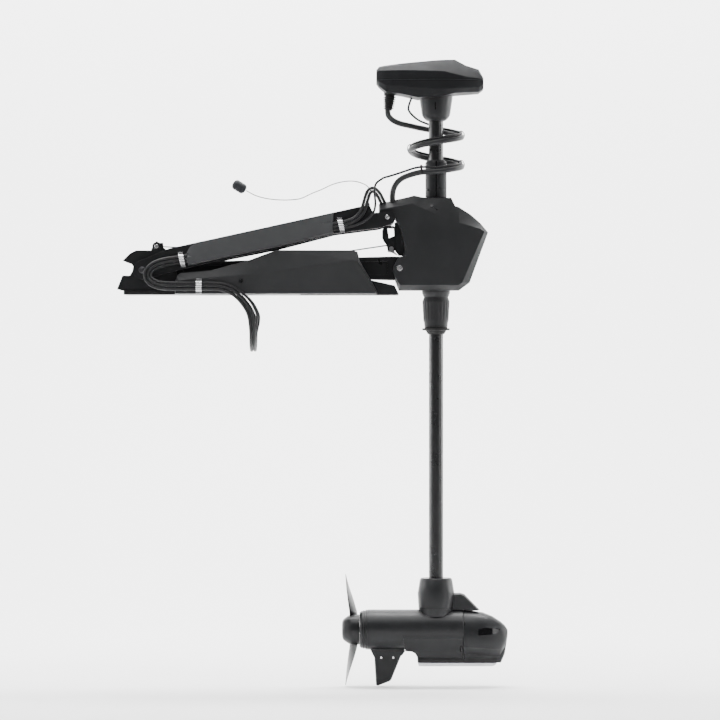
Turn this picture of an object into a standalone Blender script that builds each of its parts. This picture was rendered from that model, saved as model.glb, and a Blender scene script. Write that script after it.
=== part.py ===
"""Bow-mount trolling motor: a folding deck mount, a steering housing, a long shaft with a control head, and an
electric drive unit. Metres, +Z up, origin at the middle of the deck face of the base."""

import math

import bmesh
import bpy
from mathutils import Vector

MM = 0.001

# Pivots of the fold linkage, in millimetres, as (X, Z)
ARM_ROOT = (-291.0, 61.0)
ARM_TIP = (317.5, 192.25)
LINK_TIP = (348.5, 66.25)
LINK_ROOT = (-240.0, 64.0)
RELEASE_PIN = (328.0, 114.5)

SHAFT_X = 440.0
SHAFT_R = 18.0
SHAFT_TOP = 500.0
SHAFT_BOTTOM = -775.0
MOTOR_Z = -836.25
MOTOR_R = 50.0
MOTOR_FRONT = 508.0
MOTOR_REAR = 249.0
PROP_R = 138.0

# Layers across the mount, as distances from the middle plane
CORE_Y = 35.0
SLOT_Y = (36.0, 46.0)
LINK_Y = (37.0, 45.0)
CHEEK_Y = (47.0, 58.0)
SKID_TOP = -918.3
HOUSING_Y = 58.0
BEAM_Y = (60.0, 70.0)
BASE_RAIL_Y = (62.0, 70.0)
ARM_COVER_Y = (70.3, 84.0)
SIDE_COVER_Y = (70.3, 90.0)
PLATE_Y = 61.7
PLATE_TOP = 10.0
CHANNEL_Y = 75.6
CLAMPED_Y = 95.0
BOLT_HOLE = 7.0
GAP = 0.3

ROUND = 32
SMALL_ROUND = 16

BLACK = (0.012, 0.013, 0.014)
CASTING = (0.02, 0.021, 0.022)
GREY = (0.045, 0.047, 0.05)
STEEL = (0.6, 0.61, 0.62)


# ---------------------------------------------------------------- helpers

def clear_scene():
    for old in list(bpy.data.objects):
        bpy.data.objects.remove(old, do_unlink=True)


def paint(obj, color, roughness=0.45, metallic=0.0):
    material = bpy.data.materials.new(obj.name + "_material")
    material.use_nodes = True
    shader = material.node_tree.nodes["Principled BSDF"]
    shader.inputs["Base Color"].default_value = (*color, 1.0)
    shader.inputs["Roughness"].default_value = roughness
    shader.inputs["Metallic"].default_value = metallic
    obj.data.materials.clear()
    obj.data.materials.append(material)
    return obj


def smooth(obj, degrees=32.0):
    for face in obj.data.polygons:
        face.use_smooth = True
    obj.data.set_sharp_from_angle(angle=math.radians(degrees))
    return obj


def solid(name, points, faces):
    mesh = bpy.data.meshes.new(name)
    mesh.from_pydata([tuple(c * MM for c in point) for point in points], [], faces)
    work = bmesh.new()
    work.from_mesh(mesh)
    bmesh.ops.recalc_face_normals(work, faces=work.faces)
    work.to_mesh(mesh)
    work.free()
    obj = bpy.data.objects.new(name, mesh)
    bpy.context.scene.collection.objects.link(obj)
    return obj


def loft(name, rings):
    """One closed body through rings of equal point count."""
    count = len(rings[0])
    points = [point for ring in rings for point in ring]
    faces = [list(range(count))]
    for k in range(len(rings) - 1):
        for i in range(count):
            j = (i + 1) % count
            faces.append([k * count + i, k * count + j, (k + 1) * count + j, (k + 1) * count + i])
    faces.append([(len(rings) - 1) * count + i for i in range(count)])
    return solid(name, points, faces)


def prism(name, outline, y0, y1):
    """An (X, Z) outline carried from y0 to y1."""
    return loft(name, [[(x, y, z) for x, z in outline] for y in (y0, y1)])


def box(name, low, high):
    (x0, y0, z0), (x1, y1, z1) = low, high
    return prism(name, [(x0, z0), (x1, z0), (x1, z1), (x0, z1)], y0, y1)


def turned(name, profile, centre, axis="Z", steps=ROUND, ring=False):
    """A profile of (position along the axis, radius) turned about the axis. A ring profile closes on itself."""
    points = []
    rows = []
    for along, radius in profile:
        row = []
        for i in range(steps if radius > 0 else 1):
            angle = 2 * math.pi * i / steps
            u, v = radius * math.cos(angle), radius * math.sin(angle)
            offset = {"X": (along, u, v), "Y": (u, along, v), "Z": (u, v, along)}[axis]
            row.append(len(points))
            points.append(tuple(c + o for c, o in zip(centre, offset)))
        rows.append(row)
    pairs = list(zip(rows, rows[1:]))
    if ring:
        pairs.append((rows[-1], rows[0]))
    faces = []
    for a, b in pairs:
        for i in range(steps):
            j = (i + 1) % steps
            corners = [a[i % len(a)], a[j % len(a)], b[j % len(b)], b[i % len(b)]]
            face = list(dict.fromkeys(corners))
            if len(face) > 2:
                faces.append(face)
    return smooth(solid(name, points, faces))


def rod(name, centre, radius, length, axis="Z", steps=SMALL_ROUND, bevel=0.0):
    """A round bar from its centre face along the axis, with bevelled ends."""
    profile = [(0, 0), (0, radius - bevel), (bevel, radius), (length - bevel, radius),
               (length, radius - bevel), (length, 0)]
    if bevel == 0.0:
        profile = [(0, 0), (0, radius), (length, radius), (length, 0)]
    return turned(name, profile, centre, axis, steps)


def combine(obj, tool, operation="DIFFERENCE"):
    """Cuts, adds or intersects the tool, then removes it."""
    modifier = obj.modifiers.new("shape", "BOOLEAN")
    modifier.operation = operation
    modifier.solver = "EXACT"
    modifier.object = tool
    bpy.context.view_layer.update()
    graph = bpy.context.evaluated_depsgraph_get()
    mesh = bpy.data.meshes.new_from_object(obj.evaluated_get(graph))
    obj.modifiers.clear()
    obj.data = mesh
    bpy.data.objects.remove(tool)
    return obj


def catmull(points, spacing):
    """Points read at an even spacing from a smooth curve through the route."""
    route = [Vector(point) for point in points]
    route = [2 * route[0] - route[1]] + route + [2 * route[-1] - route[-2]]
    fine = []
    for a, b, c, d in zip(route, route[1:], route[2:], route[3:]):
        for k in range(24):
            t = k / 24
            fine.append(0.5 * (2 * b + (c - a) * t + (2 * a - 5 * b + 4 * c - d) * t * t
                               + (3 * b - a - 3 * c + d) * t ** 3))
    fine.append(route[-2])
    total = sum((q - p).length for p, q in zip(fine, fine[1:]))
    steps = max(3, round(total / spacing))
    out = [fine[0]]
    travelled = 0.0
    goal = total / steps
    for p, q in zip(fine, fine[1:]):
        step = (q - p).length
        while travelled + step >= goal - 1e-6 and len(out) < steps:
            out.append(p.lerp(q, (goal - travelled) / step))
            goal += total / steps
        travelled += step
    out.append(fine[-1])
    return out


def tube(name, route, diameter, spacing=2.6):
    """A round cable along the route."""
    points = catmull(route, spacing * diameter)
    curve = bpy.data.curves.new(name, "CURVE")
    curve.dimensions = "3D"
    line = curve.splines.new("POLY")
    line.points.add(len(points) - 1)
    for slot, point in zip(line.points, points):
        slot.co = (point.x * MM, point.y * MM, point.z * MM, 1.0)
    curve.bevel_depth = diameter / 2 * MM
    curve.bevel_resolution = 2
    curve.use_fill_caps = True
    curve.render_resolution_u = 0
    obj = bpy.data.objects.new(name, curve)
    bpy.context.scene.collection.objects.link(obj)
    line.use_smooth = True
    return obj


def lobes(cores, steps=8, web=1.1):
    """Outline of round cores side by side, bonded by a thin web. Each core is (offset, radius)."""
    top, bottom = [], []
    for k, (offset, radius) in enumerate(cores):
        lean = math.degrees(math.asin(web / radius))
        first = 180.0 if k == 0 else 180.0 - lean
        last = 0.0 if k == len(cores) - 1 else lean
        for i in range(steps // 2 + 1):
            angle = math.radians(first + (last - first) * i / (steps // 2))
            point = (offset + radius * math.cos(angle), radius * math.sin(angle))
            top.append(point)
            if 0 < i < steps // 2 or (first < 180 and i == 0) or (last > 0 and i == steps // 2):
                bottom.append((point[0], -point[1]))
    return top + bottom[::-1]


def ribbon(name, cores, route, spacing, upright=True):
    """A flat lead of bonded cores. Upright, its cores lie over one another in every X-Z view."""
    points = catmull(route, spacing)
    outline = lobes(cores)
    side = Vector((0, 0, 1))
    rings = []
    for k, point in enumerate(points):
        tangent = (points[min(k + 1, len(points) - 1)] - points[max(k - 1, 0)]).normalized()
        if upright:
            side = Vector((0, 1, 0)).cross(tangent)
        side = (side - tangent * side.dot(tangent)).normalized()
        up = tangent.cross(side)
        rings.append([tuple(point + side * a + up * b) for a, b in outline])
    return paint(smooth(loft(name, rings), 50), BLACK, 0.5)


def arc(centre, radius, start, end, steps):
    """(X, Z) points on an arc, angles in degrees."""
    return [(centre[0] + radius * math.cos(math.radians(start + (end - start) * k / steps)),
             centre[1] + radius * math.sin(math.radians(start + (end - start) * k / steps)))
            for k in range(steps + 1)]


def hole(obj, centre, radius, half_length=120.0):
    """A hole across the mount, along Y."""
    bar = rod("tool", (centre[0], -half_length, centre[1]), radius, 2 * half_length, "Y")
    return combine(obj, bar)


SIDES = (("near", -1), ("far", 1))


# ---------------------------------------------------------------- base

COVER_LINE = [(-209, 0), (-209, 28), (-204, 46), (-196, 53), (-120, 59.5), (-27.5, 84), (42.5, 110),
              (230, 109.5), (244, 106), (249.5, 83), (278, 35), (293.5, 4.5), (292, 0)]
COVER_FACE = [(-207, 2), (-207, 26), (-201, 34), (-175, 37), (-110, 42.5), (-53, 48), (3, 51),
              (219, 84), (236, 84), (245, 80), (273, 34), (288, 6), (287, 2)]
RAIL_LINE = [(-206, 0), (-206, 22), (-198, 44), (-120, 52), (-27.5, 77), (42.5, 102), (228, 102), (238, 98),
             (243, 80), (272, 37.5), (280, 35), (336, 22.5), (347, 0)]
CHEEK_LINE = [(-337, 0), (-354, 13), (-340, 47.5), (-322, 47), (-315, 59), (-312, 68), (-317.5, 76),
              (-340, 84), (-322, 102), (-306, 110), (-269.5, 110), (-261.5, 127), (-255, 133), (-249, 129),
              (-246, 112), (-226, 105), (-212, 86), (-208, 60), (-200, 34), (-198, 0)]
LATCH_PIN = (-256.0, 120.0)
LATCH_SLOT_Y = (49.7, 55.3)


def base_plate():
    plate = box("base_plate", (-337, -PLATE_Y, 0), (100, PLATE_Y, PLATE_TOP))
    combine(plate, box("tool", (-150, -26, -5), (-60, 26, 20)))
    for x in (-170, -30, 70):
        for y in (-48, 48):
            combine(plate, rod("tool", (x, y, -5), BOLT_HOLE / 2, 30, "Z"))
    return paint(plate, CASTING)


def base_sides():
    for side, sign in SIDES:
        a, b = (sign * y for y in BASE_RAIL_Y)
        paint(prism("base_rail_" + side, RAIL_LINE, a, b), CASTING)
        a, b = (sign * y for y in SIDE_COVER_Y)
        middle = sign * 78.0
        rings = [[(x, y, z) for x, z in line] for line, y in
                 ((COVER_LINE, a), (COVER_LINE, middle), (COVER_FACE, b))]
        paint(loft("side_cover_" + side, rings), BLACK)


def cradle():
    for side, sign in SIDES:
        a, b = (sign * y for y in CHEEK_Y)
        cheek = prism("cradle_cheek_" + side, [(x, z + (PLATE_TOP + GAP if z == 0 else 0)) for x, z in CHEEK_LINE],
                      a, b)
        hole(cheek, ARM_ROOT, 8.3)
        if side == "near":
            hole(cheek, LATCH_PIN, 5.3)
            combine(cheek, box("tool", (-272, -LATCH_SLOT_Y[1], 94), (-190, -LATCH_SLOT_Y[0], 140)))
        paint(cheek, CASTING)
    saddle = prism("cradle_saddle", [(-306, 10.3), (-266, 10.3), (-266, 50), (-268, 76), (-264, 87.7),
                                     (-308, 87.7), (-304, 76), (-306, 50)], -33, 33)
    paint(hole(saddle, ARM_ROOT, 8.3), CASTING)
    cup = [(-32, 88), (32, 88), (34, 104), (27, 105), (23.5, 98), (15, 92.3), (-15, 92.3), (-23.5, 98),
           (-27, 105), (-34, 104)]
    pad = loft("shaft_rest_pad", [[(x, y, z) for y, z in cup] for x in (-305, -267)])
    paint(pad, (0.008, 0.008, 0.008), 0.8)


def stow_latch():
    """A short lever in a slot of the near cheek, on its own pin, that secures the stowed shaft."""
    line = arc(LATCH_PIN, 10.5, 50, 270, 8) + [(-244, 104), (-220, 98), (-219, 103), (-238.5, 117), (-239, 129)]
    lever = prism("stow_latch_lever", line, 0.3 - LATCH_SLOT_Y[1], -0.3 - LATCH_SLOT_Y[0])
    paint(hole(lever, LATCH_PIN, 5.3), CASTING)
    pin = rod("stow_latch_pin", (LATCH_PIN[0], -58.8, LATCH_PIN[1]), 5.0, 11.6, "Y", bevel=0.6)
    paint(pin, STEEL, 0.25, 1.0)
    pin = rod("arm_root_pin", (ARM_ROOT[0], -72.6, ARM_ROOT[1]), 8.0, 145.2, "Y", bevel=0.8)
    paint(pin, STEEL, 0.25, 1.0)


def strap(name, x0, x1, z0, z1, inner, sign, tilt=0.0, lift=8.6):
    """A thin metal strap standing off a side face, with a foot at the top and the bottom."""
    t = 1.4
    profile = [(inner, z0 - 7), (inner, z0), (inner + lift, z0 + 2), (inner + lift, z1 - 2), (inner, z1),
               (inner, z1 + 7), (inner + t, z1 + 7), (inner + t, z1 + 1), (inner + lift + t, z1 - 1),
               (inner + lift + t, z0 + 1), (inner + t, z0 - 1), (inner + t, z0 - 7)]
    rings = [[(x + tilt * (z - z0), sign * y, z) for y, z in profile] for x in (x0, x1)]
    return loft(name, rings)


def base_clamps():
    for name, sign in (("base_cable_clamp", -1), ("far_cable_clip", 1)):
        paint(strap(name, -156, -142, 7, 36, 90.3, sign, lift=9.2), STEEL, 0.3, 1.0)


# ---------------------------------------------------------------- upper arm

ARM_TOP = [(-224, 114), (259, 220), (273, 222.5), (280, 209), (285, 202.5)]
ARM_UNDER = [(296, 165), (187, 151), (43.5, 114), (-100, 85)]
ARM_COVER_LINE = [(-176, 71.5), (-100, 88), (43.5, 117), (184, 151.5), (184, 201), (-160, 126), (-172, 118),
                  (-181, 101), (-182, 84)]
ARM_COVER_FACE = [(-174, 74), (-100, 90.5), (43.5, 119.5), (181, 154), (181, 162), (-87, 108.5), (-165, 94),
                  (-176, 92), (-178, 84)]
ARM_SLOPE = math.radians(12.4)


def along_arm(outline):
    """Outline points given as (distance from the arm root, height above the arm line)."""
    c, s = math.cos(ARM_SLOPE), math.sin(ARM_SLOPE)
    return [(ARM_ROOT[0] + u * c - w * s, ARM_ROOT[1] + u * s + w * c) for u, w in outline]


def upper_arm():
    line = (arc(ARM_ROOT, 23, 118, 282, 12) + ARM_UNDER[::-1] + arc(ARM_TIP, 20, -62, 45, 8)
            + ARM_TOP[::-1])
    for side, sign in SIDES:
        a, b = (sign * y for y in BEAM_Y)
        beam = prism("arm_beam_" + side, line, a, b)
        hole(beam, ARM_ROOT, 8.3)
        hole(beam, ARM_TIP, 5.7)
        combine(beam, prism("tool", along_arm([(195, 2), (330, 2), (330, 22), (195, 22)]), a - 5, b + 5))
        paint(beam, CASTING)
        a, b = (sign * y for y in ARM_COVER_Y)
        middle = sign * 76.5
        rings = [[(x, y, z) for x, z in outline] for outline, y in
                 ((ARM_COVER_LINE, a), (ARM_COVER_LINE, middle), (ARM_COVER_FACE, b))]
        cover = loft("arm_cover_" + side, rings)
        channel = along_arm([(60, -11), (540, -11), (540, 16), (60, 16)])
        combine(cover, prism("tool", channel, a - sign, sign * 80.4))
        paint(cover, GREY)
    bridge = prism("arm_bridge", along_arm([(338, 27.5), (476, 27.5), (476, 34), (338, 34)]), -59.7, 59.7)
    paint(bridge, CASTING)
    pin = rod("arm_tip_pin", (ARM_TIP[0], -72.2, ARM_TIP[1]), 5.4, 144.4, "Y", bevel=0.6)
    paint(pin, STEEL, 0.2, 1.0)
    paint(strap("arm_clamp_lower", -196, -184.5, 72, 103, 70.3, -1, -0.22, 9.6), STEEL, 0.3, 1.0)
    paint(strap("arm_clamp_upper", 198, 213, 155.5, 187, 70.3, -1, -0.22, 9.6), STEEL, 0.3, 1.0)


SUPPLY_CORES = ((8.5, 4.0), (0.0, 4.0), (-7.5, 3.0))
POWER_CORES = ((4.25, 4.0), (-4.25, 4.0))


def arm_leads():
    """The supply ribbon runs the length of the arm behind its cover, then turns back round the arm root."""
    c = CHANNEL_Y
    d = CLAMPED_Y
    start = (-192, 85.6)
    end = (203, 171.0)
    line = [(start[0] + (end[0] - start[0]) * t, -c, start[1] + (end[1] - start[1]) * t)
            for t in (0, 0.25, 0.5, 0.75, 1)]
    ribbon("arm_lead_ribbon", sorted((-offset, radius) for offset, radius in SUPPLY_CORES), line, 40)
    back = [(-194.5, -c, 85.1), (-208, -c, 83.5), (-232, -c, 80), (-256, -80, 72), (-271, -85, 60),
            (-275, -88, 46), (-266, -92, 32), (-247, -d, 24), (-224, -d, 21.5), (-190, -d, 21), (-149, -d, 21)]
    ribbon("root_lead_ribbon", sorted(SUPPLY_CORES), back, 15)


def loop_leads():
    """The power pair leaves the arm clamp, rises in a loop and drops into the housing."""
    c = CHANNEL_Y
    route = [(203.6, -c, 175.2), (219, -c, 178.5), (240, -c, 188), (256, -c, 206), (264, -c, 231),
             (271, -c, 252), (281, -70, 260), (294, -58, 252), (306, -42, 231)]
    ribbon("loop_power_lead", sorted(POWER_CORES), route, 14)


def pull_cord():
    route = [(268, -65, 222.6), (270, -62, 238), (278, -58, 254), (266, -57, 271), (244, -57, 280),
             (224, -57, 282), (201, -57, 279), (180, -55, 273), (155, -52, 261.5), (129, -50, 251),
             (106.5, -48, 240.5), (91, -46, 237), (65.5, -44, 235.5), (40, -42, 236.5), (14.5, -40, 240),
             (-11, -38, 247.5), (-33.5, -36, 259.2)]
    paint(tube("pull_cord", route, 2.5, 3.9), BLACK, 0.5)
    half = 18.0
    profile = [(-half, 0), (-half, 7), (-half + 3, 11), (-half + 8, 13), (half - 8, 13), (half - 3, 11),
               (half, 7), (half, 0)]
    handle = turned("pull_handle", profile, (0, 0, 0), "X", 24)
    handle.rotation_euler = (0, math.radians(32), 0)
    handle.location = (-50.5 * MM, -36 * MM, 269 * MM)
    paint(handle, BLACK, 0.55)


# ---------------------------------------------------------------- steering housing

HOUSING_LINE = [(297, 226), (385, 247), (403, 243), (413, 241.5), (477, 241.5), (487, 221), (496, 218.5),
                (525.5, 199.5), (550, 178), (569, 155), (523, 30), (497.5, 11), (347, 11), (338, 35), (330, 58),
                (332, 71), (344.5, 93.5), (358.5, 97.5), (360, 111.5), (351, 160), (338, 190), (326, 172),
                (309, 172), (297, 186)]
HOUSING_FACE = [(299, 211), (380, 226), (388, 222), (413, 211), (466, 188), (480, 184), (496, 179),
                (525.5, 170.5), (550, 163), (559, 157), (504, 30), (494, 24), (350, 24), (341, 37), (333, 58),
                (335, 71), (346.5, 93.5), (360.5, 97.5), (362, 111.5), (353, 160), (338, 190), (326, 172),
                (309, 172), (299, 188)]


def steering_housing():
    shoulder = 40.0
    rings = [[(x, y, z) for x, z in outline] for outline, y in
             ((HOUSING_FACE, -HOUSING_Y), (HOUSING_LINE, -shoulder), (HOUSING_LINE, shoulder),
              (HOUSING_FACE, HOUSING_Y))]
    shell = loft("steering_housing", rings)
    room = [(388, 40), (500, 40), (528, 118), (530, 150), (508, 168), (455, 186), (388, 200)]
    combine(shell, prism("tool", room, -50, 50))
    web = [(336, 180), (336, 112), (346, 97), (372, 97), (372, 180)]
    combine(shell, prism("tool", web, -28.7, -26.2), "UNION")
    combine(shell, rod("tool", (SHAFT_X, 0, -5), 27, 260, "Z", ROUND))
    x, z = LINK_TIP
    slot = [(290, 99)] + arc(LINK_TIP, 32, 90, -62, 10) + [(280, z - 32 - 45), (280, 99)]
    for sign in (-1, 1):
        combine(shell, prism("tool", slot, sign * SLOT_Y[0], sign * SLOT_Y[1]))
    hole(shell, ARM_TIP, 5.7)
    hole(shell, LINK_TIP, 7.6)
    paint(shell, GREY)
    pin = rod("link_tip_pin", (x, -58.6, z), 7.3, 117.2, "Y", bevel=0.8)
    paint(pin, STEEL, 0.2, 1.0)


def bearings():
    flutes = 20
    profile = [(10.7, 35.5), (-3, 32.5), (-4.5, 30.5), (-16, 34), (-63.5, 31.5), (-79, 29)]
    rings = []
    for z, radius in profile:
        ring = []
        for i in range(2 * flutes):
            angle = math.pi * i / flutes
            depth = 1.3 if -70 < z < -10 and i % 2 else 0.0
            ring.append((SHAFT_X + (radius - depth) * math.cos(angle), (radius - depth) * math.sin(angle), z))
        rings.append(ring)
    sleeve = loft("lower_bearing_sleeve", rings)
    combine(sleeve, rod("tool", (SHAFT_X, 0, -90), 24.5, 120, "Z", ROUND))
    paint(sleeve, CASTING)


def drive_sleeve():
    profile = [(-98, 18.4), (-97, 21.5), (-88.5, 26), (-87, 34.5), (-83.5, 34.5), (-82.9, 28.5),
               (-79.4, 28.5), (-79.4, 21), (80, 21), (80, 30), (130, 30), (130, 21), (241, 21), (241, 18.4)]
    sleeve = turned("drive_sleeve", profile, (SHAFT_X, 0, 0), "Z", ROUND, True)
    paint(sleeve, (0.25, 0.25, 0.26), 0.35, 0.9)


def release_parts():
    """A bracket under the arm tip with the lever that frees the fold."""
    y0, y1 = -33.0, -29.0
    line = [(311, 171.7), (305, 160), (305, 142), (309, 132.5), (316, 124), (319, 109), (328, 105), (337, 110),
            (340, 136), (338, 165), (334, 171.7)]
    bracket = prism("release_bracket", line, y0, y1)
    window = [(318.5, 165), (334, 165), (335, 146), (322, 141)]
    combine(bracket, prism("tool", window, y0 - 5, y1 + 5))
    paint(hole(bracket, RELEASE_PIN, 2.7), CASTING)
    lever = prism("release_lever", [(322, 112), (334, 110), (343, 99.5), (341, 98), (331, 104), (318, 107)],
                  y0 - 4.3, y0 - GAP)
    combine(lever, rod("tool", (RELEASE_PIN[0], y0 - 4.3, RELEASE_PIN[1]), 6, 4, "Y"), "UNION")
    combine(lever, rod("tool", (RELEASE_PIN[0], y0 - 3, RELEASE_PIN[1]), 2.4, 7.6, "Y"), "UNION")
    paint(lever, (0.3, 0.3, 0.3), 0.4, 0.8)


# ---------------------------------------------------------------- lower link

def lower_link():
    x, z = LINK_TIP
    line = (arc(LINK_TIP, 28.5, 80, -80, 12) + [(330, 37.5), (140, 42), (-220, 50)]
            + arc(LINK_ROOT, 15, -80, -280, 8) + [(-220, 80), (140, 90.5), (330, 95)])
    for side, sign in SIDES:
        a, b = (sign * y for y in LINK_Y)
        rail = prism("link_rail_" + side, line, a, b)
        hole(rail, LINK_TIP, 7.6)
        hole(rail, LINK_ROOT, 6.3)
        recess = [(318, 49), (318, 83), (140, 79), (-190, 70), (-190, 58), (140, 53.5)]
        combine(rail, prism("tool", recess, sign * 41.0, sign * 50.0))
        paint(rail, CASTING)
    axle = rod("link_root_axle", (LINK_ROOT[0], -46.4, LINK_ROOT[1]), 6.0, 92.8, "Y", bevel=0.6)
    paint(axle, STEEL, 0.3, 1.0)


# ---------------------------------------------------------------- shaft and head

HEAD_STATIONS = [
    # X, half width, top, upper crease, lower crease, bottom
    (290.5, 40, 560, 555, 531, 527),
    (297, 47, 569, 557, 524, 518),
    (314, 55, 572, 557, 515, 504),
    (354.5, 64, 577, 557, 512, 497.5),
    (394.5, 70, 580.5, 556, 507, 488.5),
    (433, 74, 584, 555, 505, 491),
    (462, 75, 585.5, 553, 505, 494),
    (486.5, 72, 586, 547, 506, 499),
    (513, 65, 572, 541, 508, 501),
    (546, 52, 562, 538, 510, 503),
    (557.5, 42, 540, 535, 517, 512),
]
HEAD_SPLIT = 534.0


def head_section(station, part):
    x, half, top, upper, lower, bottom = station
    split = HEAD_SPLIT - (0.15 if part == "lower" else -0.15)
    if part == "cover":
        right = [(half, split), (half * 0.985, max(upper, split + 1)), (half * 0.72, (upper + top) / 2 + 3),
                 (half * 0.45, top)]
    else:
        right = [(half, split), (half * 0.97, min(lower + 6, split - 1)), (half * 0.78, bottom + 2),
                 (half * 0.4, bottom)]
    return [(x, y, z) for y, z in right] + [(x, -y, z) for y, z in reversed(right)]


def control_head():
    lower = loft("head_lower", [head_section(s, "lower") for s in HEAD_STATIONS])
    combine(lower, rod("tool", (SHAFT_X, 0, 430), SHAFT_R + GAP, SHAFT_TOP + 6 - 430, "Z", ROUND))
    combine(lower, rod("tool", (SHAFT_X, 0, 480), 42, 22, "Z", ROUND))
    paint(lower, BLACK, 0.5)
    cover = loft("head_cover", [head_section(s, "cover") for s in HEAD_STATIONS])
    paint(cover, BLACK, 0.45)
    profile = [(434.5, 18.4), (434.5, 22), (450, 35.5), (462, 37), (488, 41), (501.5, 41.5), (501.5, 18.4)]
    neck = turned("head_neck", profile, (SHAFT_X, 0, 0), "Z", ROUND, True)
    paint(neck, CASTING)
    ribs = [(499, 0), (499, 12.5)]
    for k in range(5):
        z = 496 - 6 * k
        ribs += [(z, 12.5 - k * 0.5), (z - 3, 12.5 - k * 0.5), (z - 3, 10.5 - k * 0.5), (z - 6, 10.5 - k * 0.5)]
    ribs += [(464, 8.5), (464, 0)]
    relief = turned("strain_relief", ribs, (322, 0, 0), "Z", SMALL_ROUND)
    for vertex in relief.data.vertices:
        vertex.co.x -= (0.499 - vertex.co.z) * 0.1
    paint(relief, BLACK, 0.6)
    body = turned("shaft_tube", [(SHAFT_BOTTOM, 15), (SHAFT_BOTTOM, SHAFT_R), (SHAFT_TOP, SHAFT_R),
                                 (SHAFT_TOP, 15)], (SHAFT_X, 0, 0), "Z", ROUND, True)
    paint(body, BLACK, 0.3, 0.2)


def depth_collar():
    profile = [(243, 18.4), (243, 26.6), (330, 26.6), (337, 23), (337, 18.4)]
    collar = turned("depth_collar", profile, (SHAFT_X, 0, 0), "Z", ROUND, True)
    paint(collar, BLACK, 0.45)


def helix(points):
    """(angle about the shaft, height, radius) to route points."""
    return [(SHAFT_X + radius * math.cos(math.radians(angle)), radius * math.sin(math.radians(angle)), z)
            for angle, z, radius in points]


def coil_cables():
    turn = 64.0
    upper = [(319.3, 0, 459.0), (319.6, 0.5, 453), (323, 5, 446), (333, 10, 437), (350, 20, 430),
             (376, 36, 425), (404, 52, 420)]
    upper += helix([(78, 412, turn), (45, 404, turn), (0, 395, turn), (-45, 387, turn), (-90, 379, turn),
                    (-135, 370, turn), (-180, 361, turn), (-225, 351, turn), (-267.8, 341.5, turn)])
    lower = helix([(-272.2, 340.5, turn), (-315, 331, turn), (-360, 321, turn), (-405, 313, turn),
                   (-450, 306, turn)])
    lower += [(404, -64, 304), (374, -61, 297), (350, -56, 286), (336, -49, 269), (331, -42, 250),
              (331, -40, 237.4)]
    ride = 9.9
    thin = [(378, -10, 488.3), (371, -8, 468), (376, 0, 455), (393, 20, 441), (415, 44, 432)]
    thin += helix([(78, 412 + ride, turn), (45, 404 + ride, turn), (0, 395 + ride, turn), (-45, 387 + ride, turn),
                   (-90, 379 + ride, turn), (-135, 370 + ride, turn), (-180, 361 + ride, turn),
                   (-225, 351 + ride, turn), (-267.8, 341.5 + ride, turn)])
    thin_low = helix([(-272.2, 340.5 + ride, turn), (-315, 331 + ride, turn), (-360, 321 + ride, turn),
                      (-405, 313 + ride, turn), (-450, 306 + ride, turn)])
    thin_low += [(404, -67, 316.5), (385, -69, 313.5), (362, -71, 306), (335, -73, 297), (308, -75, 289),
                 (290, -79, 275), (286, -82, 254), (288, -83, 222), (281, -82, 199), (262, -81, 182),
                 (240, -79, 171.5), (222, -77, 167), (208, -75.6, 164.3)]
    paint(tube("coil_cable_upper", upper, 14), BLACK, 0.5)
    paint(tube("coil_cable_lower", lower, 14), BLACK, 0.5)
    paint(tube("sonar_cable_upper", thin, 5, 2.9), BLACK, 0.5)
    paint(tube("sonar_cable_lower", thin_low, 5, 2.9), BLACK, 0.5)


# ---------------------------------------------------------------- drive unit

def drive_unit():
    tube_profile = [(MOTOR_REAR, 7), (MOTOR_REAR, 43), (254, 46.5), (261, 48), (261, 47), (264, 47), (264, 49.4),
                    (268, 50), (MOTOR_FRONT, MOTOR_R), (MOTOR_FRONT, 46), (262, 46), (262, 7)]
    paint(turned("motor_tube", tube_profile, (0, 0, MOTOR_Z), "X", 36, True), CASTING)
    profile = [(-707.3, 18.4), (-707.3, 37.5), (-711, 40.5), (-745, 46), (-780, 44), (-802, 41), (-802, 18.4)]
    collar = turned("motor_collar", profile, (SHAFT_X, 0, 0), "Z", ROUND, True)
    foot = [(530, -788.4), (508, -786.4)]
    fin = [[(x, y, z) for x, z in line] for y, line in
           ((-14, [(470, -786), (470, -750), (501, -748), (510, -752), (547, -790.5)] + foot),
            (-7, [(470, -786), (470, -745), (501.5, -744.5), (511, -748), (554, -791.7)] + foot),
            (7, [(470, -786), (470, -745), (501.5, -744.5), (511, -748), (554, -791.7)] + foot),
            (14, [(470, -786), (470, -750), (501, -748), (510, -752), (547, -790.5)] + foot))]
    combine(collar, loft("tool", fin), "UNION")
    combine(collar, rod("tool", (360, 0, MOTOR_Z), MOTOR_R + GAP, 220, "X", 36))
    paint(collar, CASTING)
    nose()
    keel()
    skeg()


def nose():
    """The blunt front of the drive unit, a bulb that runs down into the keel."""
    stations = [
        # X, bulb half width, top, keel half width, bottom
        (508.3, 49.5, -787, 21, -927.5), (530, 49, -789, 21, -927.5), (557, 46, -793, 20, -927.5),
        (580, 40, -802, 18, -927.3), (600, 31, -814.5, 14, -923), (612, 21, -825, 9, -895),
        (619, 9, -836, 4, -852),
    ]
    rings = []
    for x, wide, top, thin, bottom in stations:
        middle = min(MOTOR_Z, (top + bottom) / 2)
        waist = middle + (bottom - middle) * 0.55
        half = [(0.0, top)]
        for k in range(1, 6):
            angle = math.radians(18 * k)
            half.append((wide * math.sin(angle), middle + (top - middle) * math.cos(angle)))
        half += [(wide * 0.93, middle + (waist - middle) * 0.5), (thin, waist), (thin * 0.9, bottom + 2),
                 (thin * 0.75, bottom)]
        rings.append([(x, y, z) for y, z in half] + [(x, -y, z) for y, z in reversed(half[1:])])
    shell = loft("nose_cone", rings)
    combine(shell, box("tool", (500, -60, -940), (640, 60, SKID_TOP + GAP)))
    paint(smooth(shell, 25), CASTING)


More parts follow.
